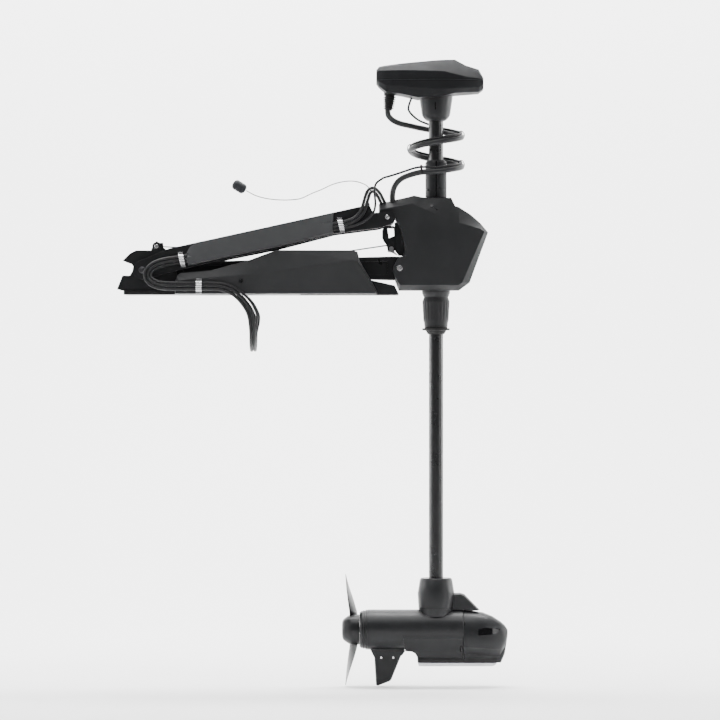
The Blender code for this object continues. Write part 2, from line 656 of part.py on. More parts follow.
def keel():
    side = [(355, -845), (507.7, -845), (507.7, -918), (394, -918), (393, -904), (387, -894), (379, -890),
            (363, -888.5)]
    body = prism("keel", side, -60, 60)
    cross = [(-49, -845), (49, -845), (48.5, -856), (26, -888), (20, -905), (17, -912), (17, -919), (-17, -919),
             (-17, -912), (-20, -905), (-26, -888), (-48.5, -856)]
    combine(body, loft("tool", [[(x, y, z) for y, z in cross] for x in (350, 512)]), "INTERSECT")
    combine(body, rod("tool", (340, 0, MOTOR_Z), MOTOR_R + GAP, 200, "X", 36))
    paint(body, CASTING)
    outline = [(394, SKID_TOP), (592, SKID_TOP), (588, -924), (580, -927), (397, -927)]
    skid = prism("skid_plate", outline, -16, 16)
    paint(skid, (0.5, 0.51, 0.52), 0.4, 0.9)


def skeg():
    mount = prism("skeg", [(275, -884), (285, -904), (355, -900), (362.5, -889.4), (354.5, -875),
                                 (300, -875)], -15, 15)
    combine(mount, rod("tool", (250, 0, MOTOR_Z), MOTOR_R + GAP, 160, "X", 36))
    line = [(285, -902), (286, -910), (290, -975), (295, -977), (325, -965), (329, -960), (354, -898)]
    thin = [(288, -902), (289, -910), (293, -972), (297, -974), (323, -963), (326, -958), (350, -898)]
    rings = [[(x, y, z) for x, z in outline] for outline, y in ((thin, -5), (line, -1.2), (line, 1.2), (thin, 5))]
    paint(combine(mount, loft("tool", rings), "UNION"), CASTING)


def propeller():
    profile = [(204.5, 0), (204.5, 20), (207, 25), (223, 36), (228, 38), (246, 38), (248.7, 36), (248.7, 0)]
    hub = turned("propeller", profile, (0, 0, MOTOR_Z), "X", ROUND)
    for turn in (0, 180):
        rings = []
        for radius, chord, thick, twist, sweep in ((28, 34, 7, 52, 235), (45, 44, 6, 62, 233), (70, 50, 5, 71, 227.5),
                                                   (92, 52, 4, 78, 222.5), (114, 44, 3, 83, 218),
                                                   (130, 26, 2.2, 86, 215.3), (PROP_R, 8, 1.5, 88, 214)):
            ring = []
            for u, v in ((-0.5, 0), (-0.3, 0.42), (0.0, 0.5), (0.3, 0.32), (0.5, 0), (0.3, -0.3), (0.0, -0.4),
                         (-0.3, -0.3)):
                a = math.radians(twist)
                px = chord * u * math.cos(a) * 0.9 + thick * v
                py = chord * u * math.sin(a) + radius * 0.08
                ring.append((sweep + px, py if turn == 0 else -py, MOTOR_Z + (radius if turn == 0 else -radius)))
            rings.append(ring)
        combine(hub, smooth(loft("tool", rings), 40), "UNION")
    combine(hub, rod("tool", (230, 0, MOTOR_Z), 6.3, 30, "X"))
    paint(smooth(hub), BLACK, 0.4)
    shaft = [(230.4, 0), (230.4, 6), (296, 6), (296, 28), (442, 28), (442, 6), (470, 6), (470, 0)]
    paint(turned("motor_rotor", shaft, (0, 0, MOTOR_Z), "X", SMALL_ROUND), STEEL, 0.35, 0.9)


# ---------------------------------------------------------------- supply cords

def supply_cords():
    """Two power leads and a sonar lead hang from the base clamp, pass under the mount and rest on its far side."""
    d = CLAMPED_Y
    z = 16.9
    power = [(-148.4, -d, z), (-118, -d, z), (-92, -d, z - 2), (-62, -d, z - 14), (-38, -d, z - 38),
             (-22, -d, -50), (-16.5, -88, -88), (-16.5, -68, -118), (-16.5, -36, -133), (-16.5, 0, -138),
             (-16.5, 36, -133), (-16.5, 68, -118), (-16.5, 88, -88), (-22, d, -50), (-38, d, z - 38),
             (-62, d, z - 14), (-92, d, z - 2), (-118, d, z), (-149, d, z), (-180, d, z), (-206, d, z),
             (-230, d, z)]
    ribbon("power_lead", sorted(POWER_CORES), power, 19, upright=False)
    sonar = [(-148.4, -d, 28.5), (-118, -d, 28.5), (-88, -d, 26.5), (-56, -d, 14), (-24, -d, -14), (-7, -93.5, -44),
             (-5, -89, -63), (-9, -79, -86), (-13, -60, -108), (-13, -32, -121), (-13, 0, -126),
             (-13, 32, -121), (-13, 60, -108), (-9, 79, -86), (-5, 89, -63), (-7, 93.5, -44), (-24, d, -14),
             (-56, d, 14), (-88, d, 26.5), (-118, d, 28.5), (-149, d, 28.5),
             (-168, d, 32.5), (-180, d, 34), (-191.8, d, 34)]
    paint(tube("sonar_lead", sonar, 6), BLACK, 0.5)
    block = box("power_plug", (-266, d - 4.4, z - 10.3), (-230.3, d + 8, z + 10.3))
    paint(block, (0.3, 0.01, 0.01), 0.4)
    paint(rod("sonar_plug", (-220.3, d, 34), 4.6, 28, "X", bevel=1.0), BLACK, 0.4)


# ---------------------------------------------------------------- joints

BODIES = {
    "joint_arm_swing": (ARM_ROOT[0], 0, ARM_ROOT[1], [
        "arm_beam_near", "arm_beam_far", "arm_cover_near", "arm_cover_far", "arm_bridge", "arm_tip_pin",
        "arm_clamp_lower", "arm_clamp_upper", "arm_lead_ribbon", "pull_cord", "pull_handle", "loop_power_lead"]),
    "joint_housing_tilt": (ARM_TIP[0], 0, ARM_TIP[1], [
        "steering_housing", "link_tip_pin", "lower_bearing_sleeve", "release_bracket", "coil_cable_lower",
        "sonar_cable_lower"]),
    "joint_link_fold": (LINK_TIP[0], 0, LINK_TIP[1], ["link_rail_near", "link_rail_far", "link_root_axle"]),
    "joint_release_lever": (*RELEASE_PIN[:1], 0, *RELEASE_PIN[1:], ["release_lever"]),
    "joint_stow_latch": (LATCH_PIN[0], 0, LATCH_PIN[1], ["stow_latch_lever"]),
    "joint_steer": (SHAFT_X, 0, 0, ["drive_sleeve", "coil_cable_upper", "sonar_cable_upper"]),
    "joint_shaft_depth": (SHAFT_X, 0, 0, [
        "shaft_tube", "head_lower", "head_cover", "head_neck", "strain_relief", "motor_tube", "motor_collar",
        "nose_cone", "keel", "skid_plate", "skeg"]),
    "joint_depth_collar": (SHAFT_X, 0, 243, ["depth_collar"]),
    "joint_prop_spin": (230, 0, MOTOR_Z, ["propeller", "motor_rotor"]),
}
PARENTS = {
    "joint_housing_tilt": "joint_arm_swing", "joint_link_fold": "joint_housing_tilt",
    "joint_release_lever": "joint_housing_tilt", "joint_steer": "joint_housing_tilt",
    "joint_shaft_depth": "joint_steer", "joint_depth_collar": "joint_shaft_depth",
    "joint_prop_spin": "joint_shaft_depth",
}


def attach(child, parent):
    child.parent = parent
    child.matrix_parent_inverse = parent.matrix_world.inverted()


def joints():
    empties = {}
    for name, (x, y, z, _) in BODIES.items():
        empty = bpy.data.objects.new(name, None)
        empty.location = (x * MM, y * MM, z * MM)
        bpy.context.scene.collection.objects.link(empty)
        empties[name] = empty
    bpy.context.view_layer.update()
    for name, parent in PARENTS.items():
        attach(empties[name], empties[parent])
    bpy.context.view_layer.update()
    for name, (_, _, _, pieces) in BODIES.items():
        for piece in pieces:
            attach(bpy.data.objects[piece], empties[name])
    bpy.context.view_layer.update()


clear_scene()
base_plate()
base_sides()
cradle()
stow_latch()
base_clamps()
upper_arm()
arm_leads()
loop_leads()
pull_cord()
steering_housing()
bearings()
drive_sleeve()
release_parts()
lower_link()
control_head()
depth_collar()
coil_cables()
drive_unit()
propeller()
supply_cords()
joints()
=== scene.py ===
import math

import bmesh
import bpy
from mathutils import Matrix, Vector
from mathutils.bvhtree import BVHTree


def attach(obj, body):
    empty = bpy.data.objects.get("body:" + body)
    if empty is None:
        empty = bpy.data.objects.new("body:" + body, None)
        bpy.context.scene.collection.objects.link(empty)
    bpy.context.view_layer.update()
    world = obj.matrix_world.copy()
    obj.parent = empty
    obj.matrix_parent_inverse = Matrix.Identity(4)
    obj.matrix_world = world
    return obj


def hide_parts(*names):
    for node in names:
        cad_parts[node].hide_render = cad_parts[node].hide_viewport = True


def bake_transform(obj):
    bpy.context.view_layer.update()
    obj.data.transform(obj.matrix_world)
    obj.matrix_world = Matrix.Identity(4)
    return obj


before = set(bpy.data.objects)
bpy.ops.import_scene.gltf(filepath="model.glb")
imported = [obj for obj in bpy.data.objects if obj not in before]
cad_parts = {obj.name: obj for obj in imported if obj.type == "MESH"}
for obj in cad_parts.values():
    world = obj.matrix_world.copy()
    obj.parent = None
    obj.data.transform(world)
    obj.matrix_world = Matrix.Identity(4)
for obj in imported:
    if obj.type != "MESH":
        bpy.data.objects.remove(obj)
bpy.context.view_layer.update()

MM = 0.001
SHAFT_X = 440.0
MOTOR_Z = -836.25
ARM_ROOT = (-291.0, 61.0)
ARM_TIP = (317.5, 192.25)
LINK_TIP = (348.5, 66.25)
CHANNEL_Y = 75.6
CLAMPED_Y = 95.0
FLOOR_M = -0.9785
SWEEP_START_M = 1.6
SWEEP_RADIUS_M = 1.6
COIL_RADIUS = 64.0
THIN_CABLE_LIFT = 9.9
COIL_DIAMETER = 14
THIN_DIAMETER = 5.6
COIL_SPACING = 0.45


# ------------------------------------------------------------ camera

camera_data = bpy.data.cameras.new("camera")
camera_data.lens = 180
camera_data.sensor_width = 36
camera_data.clip_end = 60
camera = bpy.data.objects.new("camera", camera_data)
camera.location = (0.25, -9.0, -0.1625)
camera.rotation_euler = (math.radians(90), 0, 0)
bpy.context.scene.collection.objects.link(camera)
bpy.context.scene.camera = camera


# ------------------------------------------------------------ mesh helpers

def solid(name, points, faces, smooth=None, bevel=0.0, segments=2):
    """A mesh from millimetre points, with smooth shading under the given angle and a bevel."""
    mesh = bpy.data.meshes.new(name)
    mesh.from_pydata([tuple(c * MM for c in point) for point in points], [], faces)
    work = bmesh.new()
    work.from_mesh(mesh)
    bmesh.ops.recalc_face_normals(work, faces=work.faces)
    work.to_mesh(mesh)
    work.free()
    obj = bpy.data.objects.new(name, mesh)
    bpy.context.scene.collection.objects.link(obj)
    if smooth is not None:
        for face in mesh.polygons:
            face.use_smooth = True
        mesh.set_sharp_from_angle(angle=math.radians(smooth))
    if bevel:
        soften(obj, bevel, segments)
    return obj


def soften(obj, width, segments=2, angle=28):
    """Rounds the edges over the angle, so that they catch light."""
    modifier = obj.modifiers.new("soften", "BEVEL")
    modifier.width = width * MM
    modifier.segments = segments
    modifier.limit_method = "ANGLE"
    modifier.angle_limit = math.radians(angle)
    modifier.harden_normals = True
    return obj


def loft(name, rings, smooth=None, bevel=0.0):
    """A closed solid through rings that have the same number of points."""
    count = len(rings[0])
    points = [point for ring in rings for point in ring]
    faces = [list(range(count))]
    for k in range(len(rings) - 1):
        for i in range(count):
            j = (i + 1) % count
            faces.append([k * count + i, k * count + j, (k + 1) * count + j, (k + 1) * count + i])
    faces.append([(len(rings) - 1) * count + i for i in range(count)])
    return solid(name, points, faces, smooth, bevel)


def prism(name, outline, y0, y1, bevel=0.6):
    """An outline of X and Z, extruded across the part."""
    return loft(name, [[(x, y, z) for x, z in outline] for y in (y0, y1)], 30, bevel)


def turned(name, profile, centre, axis="Z", steps=64, ring=False, smooth=32):
    """A profile of (position along the axis, radius) turned about the axis."""
    points, rows = [], []
    for along, radius in profile:
        row = []
        for i in range(steps if radius > 0 else 1):
            angle = 2 * math.pi * i / steps
            u, v = radius * math.cos(angle), radius * math.sin(angle)
            offset = {"X": (along, u, v), "Y": (u, along, v), "Z": (u, v, along)}[axis]
            row.append(len(points))
            points.append(tuple(c + o for c, o in zip(centre, offset)))
        rows.append(row)
    pairs = list(zip(rows, rows[1:])) + ([(rows[-1], rows[0])] if ring else [])
    faces = []
    for a, b in pairs:
        for i in range(steps):
            j = (i + 1) % steps
            face = list(dict.fromkeys([a[i % len(a)], a[j % len(a)], b[j % len(b)],
                                       b[i % len(b)]]))
            if len(face) > 2:
                faces.append(face)
    return solid(name, points, faces, smooth)


def joined(name, objects):
    """Several mesh pieces as one object, with their modifiers applied."""
    bpy.context.view_layer.update()
    graph = bpy.context.evaluated_depsgraph_get()
    mesh = bpy.data.meshes.new(name)
    work = bmesh.new()
    for obj in objects:
        shape = bpy.data.meshes.new_from_object(obj.evaluated_get(graph))
        shape.transform(obj.matrix_world)
        work.from_mesh(shape)
        bpy.data.meshes.remove(shape)
    work.to_mesh(mesh)
    work.free()
    for obj in objects:
        bpy.data.objects.remove(obj)
    out = bpy.data.objects.new(name, mesh)
    bpy.context.scene.collection.objects.link(out)
    return out


def catmull(points, spacing):
    """Evenly spaced points on a smooth curve through the route."""
    route = [Vector(point) for point in points]
    route = [2 * route[0] - route[1]] + route + [2 * route[-1] - route[-2]]
    fine = []
    for a, b, c, d in zip(route, route[1:], route[2:], route[3:]):
        for k in range(24):
            t = k / 24
            fine.append(0.5 * (2 * b + (c - a) * t + (2 * a - 5 * b + 4 * c - d) * t * t
                               + (3 * b - a - 3 * c + d) * t ** 3))
    fine.append(route[-2])
    total = sum((q - p).length for p, q in zip(fine, fine[1:]))
    steps = max(3, round(total / spacing))
    out, travelled, goal = [fine[0]], 0.0, total / steps
    for p, q in zip(fine, fine[1:]):
        step = (q - p).length
        while travelled + step >= goal - 1e-6 and len(out) < steps:
            out.append(p.lerp(q, (goal - travelled) / step))
            goal += total / steps
        travelled += step
    out.append(fine[-1])
    return out


def tube_mesh(name, points, radius, sides=20):
    """A round cable along points in millimetres, closed at both ends."""
    angles = [2 * math.pi * i / sides for i in range(sides)]
    side = Vector((0.13, 0.2, 0.97)).normalized()
    rings = []
    for k, point in enumerate(points):
        tangent = (points[min(k + 1, len(points) - 1)] - points[max(k - 1, 0)]).normalized()
        side = (side - tangent * side.dot(tangent)).normalized()
        up = tangent.cross(side)
        rings.append([tuple(point + (side * math.cos(a) + up * math.sin(a)) * radius)
                      for a in angles])
    return loft(name, rings, 40)


def cable(name, route, diameter, spacing=0.8):
    """A round cable along a smoothed route, a hair thinner than its solid."""
    return tube_mesh(name, catmull(route, spacing * diameter), diameter / 2 - 0.02)


# ------------------------------------------------------------ materials

class Nodes:
    """Short calls for building a node tree."""

    def __init__(self, name):
        self.material = bpy.data.materials.new(name)
        self.material.use_nodes = True
        self.tree = self.material.node_tree
        self.shader = self.tree.nodes["Principled BSDF"]
        self.place = self.tree.nodes.new("ShaderNodeTexCoord").outputs["Object"]

    def add(self, kind, **values):
        node = self.tree.nodes.new(kind)
        for key, value in values.items():
            if hasattr(node, key):
                setattr(node, key, value)
            else:
                node.inputs[key.replace("_", " ")].default_value = value
        return node

    def link(self, output, target):
        self.tree.links.new(output, target)

    def noise(self, scale, detail=4.0, roughness=0.55, stretch=None):
        source = self.place
        if stretch:
            mapping = self.add("ShaderNodeMapping")
            mapping.inputs["Scale"].default_value = stretch
            self.link(source, mapping.inputs["Vector"])
            source = mapping.outputs["Vector"]
        node = self.add("ShaderNodeTexNoise", Scale=scale, Detail=detail, Roughness=roughness)
        self.link(source, node.inputs["Vector"])
        return node.outputs["Fac"]

    def ramp(self, source, stops):
        node = self.add("ShaderNodeValToRGB")
        ramp = node.color_ramp
        while len(ramp.elements) < len(stops):
            ramp.elements.new(0.5)
        for element, (place, value) in zip(ramp.elements, stops):
            element.position = place
            element.color = (*value, 1.0) if isinstance(value, tuple) else (value, value, value,
                                                                            1.0)
        self.link(source, node.inputs["Fac"])
        return node.outputs["Color"]

    def mix(self, factor, a, b):
        node = self.add("ShaderNodeMix", data_type="RGBA")
        for socket, value in ((node.inputs["Factor"], factor), (node.inputs[6], a),
                              (node.inputs[7], b)):
            if isinstance(value, (int, float)):
                socket.default_value = value
            elif isinstance(value, tuple):
                socket.default_value = (*value, 1.0)
            else:
                self.link(value, socket)
        return node.outputs[2]

    def bumps(self, *layers):
        """Bump from (height output, strength, distance in mm) layers."""
        normal = None
        for height, strength, distance in layers:
            node = self.add("ShaderNodeBump")
            node.inputs["Strength"].default_value = strength
            node.inputs["Distance"].default_value = distance * MM
            self.link(height, node.inputs["Height"])
            if normal:
                self.link(normal, node.inputs["Normal"])
            normal = node.outputs["Normal"]
        self.link(normal, self.shader.inputs["Normal"])


def worn(nodes, color, bright, low=0.6, high=0.78):
    """Colour that lightens a little along worn edges, and in a few fine scuffs."""
    edge = nodes.add("ShaderNodeNewGeometry").outputs["Pointiness"]
    wear = nodes.ramp(edge, [(low, 0.0), (high, 0.8)])
    broken = nodes.ramp(nodes.noise(140, 6), [(0.4, 0.0), (0.6, 1.0)])
    mask = nodes.mix(wear, (0.0, 0.0, 0.0), broken)
    scuffs = nodes.ramp(nodes.noise(420, 8, 0.7, (1, 1, 0.12)), [(0.7, 0.0), (0.8, 0.15)])
    return nodes.mix(scuffs, nodes.mix(mask, color, bright), bright)


def tone(nodes, color, spread, scale, low=0.32, high=0.72):
    """Slow colour variation around a middle value."""
    return nodes.ramp(nodes.noise(scale, 5), [(low, tuple(c * (1 - spread) for c in color)),
                                              (high, tuple(c * (1 + spread) for c in color))])


def gloss(nodes, roughness, source, spread=0.07):
    value = nodes.ramp(source, [(0.3, roughness - spread), (0.75, roughness + spread)])
    nodes.link(value, nodes.shader.inputs["Roughness"])


def plastic(name, color, roughness=0.48, grain=1400, depth=0.04, specular=0.2):
    """Moulded plastic: fine spark texture, lighter worn edges and scuffs, and uneven gloss."""
    nodes = Nodes(name)
    pale = tuple(c * 1.5 + 0.006 for c in color)
    nodes.link(worn(nodes, tone(nodes, color, 0.1, 9), pale), nodes.shader.inputs["Base Color"])
    gloss(nodes, roughness, nodes.noise(22, 6))
    nodes.shader.inputs["Specular IOR Level"].default_value = specular
    nodes.bumps((nodes.noise(grain, 2), 0.3, depth), (nodes.noise(45, 3), 0.08, 0.12))
    return nodes.material


def painted(name, color, roughness=0.38, metallic=0.0, specular=0.24):
    """Powder-coated casting: orange peel, soft mottling, small chips on the edges."""
    nodes = Nodes(name)
    pale = tuple(c * 1.6 + 0.01 for c in color)
    nodes.link(worn(nodes, tone(nodes, color, 0.12, 12), pale, 0.64, 0.85),
               nodes.shader.inputs["Base Color"])
    gloss(nodes, roughness, nodes.noise(36, 6))
    nodes.shader.inputs["Metallic"].default_value = metallic
    nodes.shader.inputs["Specular IOR Level"].default_value = specular
    nodes.bumps((nodes.noise(420, 3), 0.16, 0.05), (nodes.noise(2600, 2), 0.15, 0.02))
    return nodes.material


def metal(name, color, roughness=0.26, stretch=(1, 1, 1)):
    """Brushed or turned metal with fine lines, faint stains and uneven polish."""
    nodes = Nodes(name)
    nodes.link(worn(nodes, tone(nodes, color, 0.08, 30), tuple(min(1, c * 1.1) for c in color)),
               nodes.shader.inputs["Base Color"])
    nodes.shader.inputs["Metallic"].default_value = 1.0
    lines = nodes.noise(700, 4, 0.6, stretch)
    gloss(nodes, roughness, lines, 0.09)
    nodes.bumps((lines, 0.18, 0.02))
    return nodes.material


def rubber(name, color=(0.012, 0.012, 0.013), roughness=0.52, scale=900):
    """Cable jacket or moulded rubber: matt, faintly dusty, with a fine drawn texture."""
    nodes = Nodes(name)
    dust = nodes.ramp(nodes.noise(150, 8, 0.72), [(0.62, 0.0), (0.8, 0.2)])
    nodes.link(nodes.mix(dust, tone(nodes, color, 0.15, 26),
                         tuple(c * 1.4 + 0.006 for c in color)),
               nodes.shader.inputs["Base Color"])
    gloss(nodes, roughness, nodes.noise(50, 5), 0.09)
    nodes.shader.inputs["Specular IOR Level"].default_value = 0.24
    nodes.bumps((nodes.noise(scale, 3), 0.22, 0.04), (nodes.noise(45, 2), 0.08, 0.15))
    return nodes.material


MOULDED = plastic("moulded_black", (0.010, 0.0105, 0.0115), 0.5)
HEAD = plastic("head_black", (0.011, 0.0115, 0.0125), 0.5, 1800, 0.035, 0.06)
HOUSING = plastic("housing_black", (0.013, 0.0135, 0.0145), 0.5)
COVER = plastic("cover_grey", (0.019, 0.0194, 0.0205), 0.5, 1300, 0.05)
ARM = plastic("arm_grey", (0.040, 0.041, 0.043), 0.52, 1300, 0.06)
CASTING = painted("cast_black", (0.007, 0.0072, 0.008))
BRACKET = painted("bracket_black", (0.009, 0.0092, 0.010), 0.34, 0.2)
UNIT = painted("drive_black", (0.010, 0.0104, 0.0115), 0.40)
SHAFT = plastic("shaft_black", (0.006, 0.0062, 0.0068), 0.3, 2600, 0.006, 0.4)
STEEL = metal("pin_steel", (0.72, 0.72, 0.73), 0.2)
STRAP = metal("strap_steel", (0.6, 0.6, 0.61), 0.24, (1, 1, 14))
DARK_PIN = metal("pin_dark", (0.09, 0.09, 0.095), 0.34)
ALLOY = metal("skid_alloy", (0.62, 0.63, 0.65), 0.32, (0.15, 8, 8))
SLEEVE = metal("sleeve_alloy", (0.3, 0.3, 0.31), 0.35)
JACKET = rubber("cable_jacket")
COIL = rubber("coil_jacket", (0.014, 0.0145, 0.0155), 0.44)
RUBBER = rubber("moulded_rubber", (0.009, 0.009, 0.009), 0.68, 500)
HANDLE = rubber("handle_rubber", (0.014, 0.015, 0.018), 0.6, 600)
WIRE = rubber("coated_wire", (0.02, 0.02, 0.021), 0.4, 2600)
PROP = plastic("blade_black", (0.008, 0.0083, 0.009), 0.34, 900, 0.03)
RED = plastic("plug_red", (0.28, 0.012, 0.010), 0.4)
# Near black: painted shade for the recesses, slots, slits and vent that the solids lack, and the
# colour of a dark seam line.
PAINTED_SHADE_AND_SEAM = plastic("painted_shade_and_seam_black", (0.003, 0.003, 0.0035), 0.12, 3000, 0.01)


def use(obj, material, body=None, replaces=()):
    """Gives the piece its material, its body and the nodes it stands for."""
    obj.data.materials.clear()
    obj.data.materials.append(material)
    if body:
        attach(obj, body)
    if replaces:
        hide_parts(*replaces)
    return obj


def welded(node):
    """The node's shape as a bmesh with its split corners merged and its flat faces whole."""
    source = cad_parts[node].data
    work = bmesh.new()
    corners = [work.verts.new(v.co) for v in source.vertices]
    for face in source.polygons:
        work.faces.new([corners[i] for i in face.vertices])
    bmesh.ops.remove_doubles(work, verts=work.verts, dist=2e-6)
    bmesh.ops.dissolve_limit(work, angle_limit=math.radians(0.5), verts=work.verts,
                             edges=work.edges)
    return work


def rounded_copy(name, node, material, body, angle=30, bevel=0.0, segments=3):
    """The node again with smooth shading across its curved faces, in place of the faceted one."""
    work = welded(node)
    mesh = bpy.data.meshes.new(name)
    work.to_mesh(mesh)
    work.free()
    obj = bpy.data.objects.new(name, mesh)
    bpy.context.scene.collection.objects.link(obj)
    for face in mesh.polygons:
        face.use_smooth = True
    mesh.set_sharp_from_angle(angle=math.radians(angle))
    if bevel:
        soften(obj, bevel, segments, angle)
    return use(obj, material, body, [node])


def surface_of(nodes):
    """The nodes' faces as a tree for ray casts."""
    work = bmesh.new()
    for node in nodes:
        work.from_mesh(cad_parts[node].data)
    tree = BVHTree.FromBMesh(work)
    work.free()
    return tree


def surface_patch(name, outline, nodes, sign, material, body, lift=0.15, fineness=3.0):
    """A thin patch that lies on the nodes' near or far side inside an outline of X and Z."""
    tree = surface_of(nodes)
    work = bmesh.new()
    work.faces.new([work.verts.new((x * MM, 0, z * MM)) for x, z in outline])
    bmesh.ops.triangulate(work, faces=work.faces)
    for _ in range(5):
        longer = [e for e in work.edges if e.calc_length() > fineness * MM]
        if not longer:
            break
        bmesh.ops.subdivide_edges(work, edges=longer, cuts=1, use_grid_fill=False)
        bmesh.ops.triangulate(work, faces=work.faces)
    missed = []
    for vertex in work.verts:
        start = Vector((vertex.co.x, sign * 0.3, vertex.co.z))
        spot = tree.ray_cast(start, Vector((0, -sign, 0)))[0]
        if spot is None:
            missed.append(vertex)
        else:
            vertex.co.y = spot.y + sign * lift * MM
    bmesh.ops.delete(work, geom=missed, context="VERTS")
    mesh = bpy.data.meshes.new(name)
    work.to_mesh(mesh)
    work.free()
    obj = bpy.data.objects.new(name, mesh)
    bpy.context.scene.collection.objects.link(obj)
    return use(obj, material, body)


def lobed_strap(name, x0, x1, cores, plane, inner, sign, tilt=0.0):
    """A thin strap bent closely over the cores, with a flat foot at each end."""
    low = min(z - r for z, r in cores) - 0.8
    high = max(z + r for z, r in cores) + 0.8
    steps = 44
    inside = []
    for k in range(steps + 1):
        z = low + (high - low) * k / steps
        bulge = max([math.sqrt(max(0, (r + 0.5) ** 2 - (z - c) ** 2)) for c, r in cores] + [1.2])
        inside.append((plane + bulge, z))
    thick = 1.1
    outside = [(y + thick, z + (thick if k == steps else 0) - (thick if k == 0 else 0))
               for k, (y, z) in enumerate(inside)]
    profile = [(inner, low - 6), (inner, low)] + inside + [(inner, high), (inner, high + 6)]
    profile += [(inner + thick, high + 6), (inner + thick, high + thick)] + outside[::-1]
    profile += [(inner + thick, low - thick), (inner + thick, low - 6)]
    middle = (low + high) / 2
    rings = [[(x + tilt * (z - middle), sign * y, z) for y, z in profile] for x in (x0, x1)]
    return loft(name, rings, 35, 0.25)


# ------------------------------------------------------------ free cords

def twin_path():
    """The power lead's route, from the near clamp down and up the far side to the plug."""
    d = CLAMPED_Y
    return [(-148.4, -d, 16.9), (-118, -d, 16.9), (-92, -d, 14.9), (-62, -d, 2.9),
            (-38, -d, -21.1), (-22, -d, -50), (-16.5, -88, -88), (-16.5, -68, -118),
            (-16.5, -36, -133), (-16.5, 0, -138),
            (-16.5, 36, -133), (-16.5, 68, -118), (-16.5, 88, -88), (-22, d, -50), (-38, d, -21.1),
            (-62, d, 2.9), (-92, d, 14.9), (-118, d, 16.9), (-149, d, 16.9), (-180, d, 16.9),
            (-206, d, 16.9), (-230, d, 16.9)]


def offset_cores(points, offsets, upright):
    """Paths of the cores of a flat lead, beside the middle path."""
    side = Vector((0, 0, 1))
    cores = [[] for _ in offsets]
    for k, point in enumerate(points):
        tangent = (points[min(k + 1, len(points) - 1)] - points[max(k - 1, 0)]).normalized()
        if upright:
            side = Vector((0, 1, 0)).cross(tangent)
        side = (side - tangent * side.dot(tangent)).normalized()
        for core, offset in zip(cores, offsets):
            core.append(point + side * offset)
    return cores


def bonded(name, route, spacing, cores, upright=True):
    """A lead of several round cores that lie side by side."""
    points = catmull(route, spacing)
    paths = offset_cores(points, [offset for offset, _ in cores], upright)
    return joined(name, [tube_mesh("core", path, radius - 0.03, 18)
                         for path, (_, radius) in zip(paths, cores)])


TWIN = [(4.25, 4.0), (-4.25, 4.0)]
TRIPLE = [(8.5, 4.0), (0.0, 4.0), (-7.5, 3.0)]


def supply_cords():
    """The free power and sonar leads below the base, with their plugs."""
    route = twin_path()
    points = catmull(route, 6)
    lead = use(bonded("power_lead_twin", route, 6, TWIN, False), JACKET, "deck_mount",
               ["power_lead"])
    d = CLAMPED_Y
    shell = loft("plug_shell", [[(x, d - 4.2 + (w[0] * 12.0), 6.8 + w[1] * 20.2) for w in
                                 ((0, 0), (1, 0), (1, 1), (0, 1))] for x in (-265.8, -230.5)], 30,
                 1.4)
    plug = use(shell, RED, "deck_mount", ["power_plug"])
    teeth = joined("plug_grips", [
        prism("tooth", [(x, 8.5), (x + 2, 8.5), (x + 2, 25.5), (x, 25.5)], d + 7.4, d + 7.95, 0.2)
        for x in (-238, -243, -248, -253)])
    use(teeth, JACKET, "deck_mount")
    route = [(-148.4, -d, 28.5), (-118, -d, 28.5), (-88, -d, 26.5), (-56, -d, 14), (-24, -d, -14),
             (-7, -93.5, -44), (-5, -89, -63), (-9, -79, -86), (-13, -60, -108), (-13, -32, -121),
             (-13, 0, -126), (-13, 32, -121), (-13, 60, -108), (-9, 79, -86), (-5, 89, -63),
             (-7, 93.5, -44), (-24, d, -14), (-56, d, 14), (-88, d, 26.5), (-118, d, 28.5),
             (-149, d, 28.5), (-168, d, 32.5), (-180, d, 34), (-191.8, d, 34)]
    points = catmull(route, 6)
    lead = use(tube_mesh("sonar_lead_jacket", points, 2.97), JACKET, "deck_mount", ["sonar_lead"])
    profile = [(-0.1, 0), (-0.1, 3.4), (-3, 4.3), (-9, 4.3), (-9.5, 3.7), (-11, 3.7), (-11.5, 4.5),
               (-24, 4.5), (-25, 4.1), (-27.8, 4.1), (-27.8, 3.0), (-22, 3.0), (-22, 0)]
    plug = use(turned("sonar_plug_shell", profile, (-192.3, d, 34), "X", 32), RUBBER, "deck_mount",
               ["sonar_plug"])


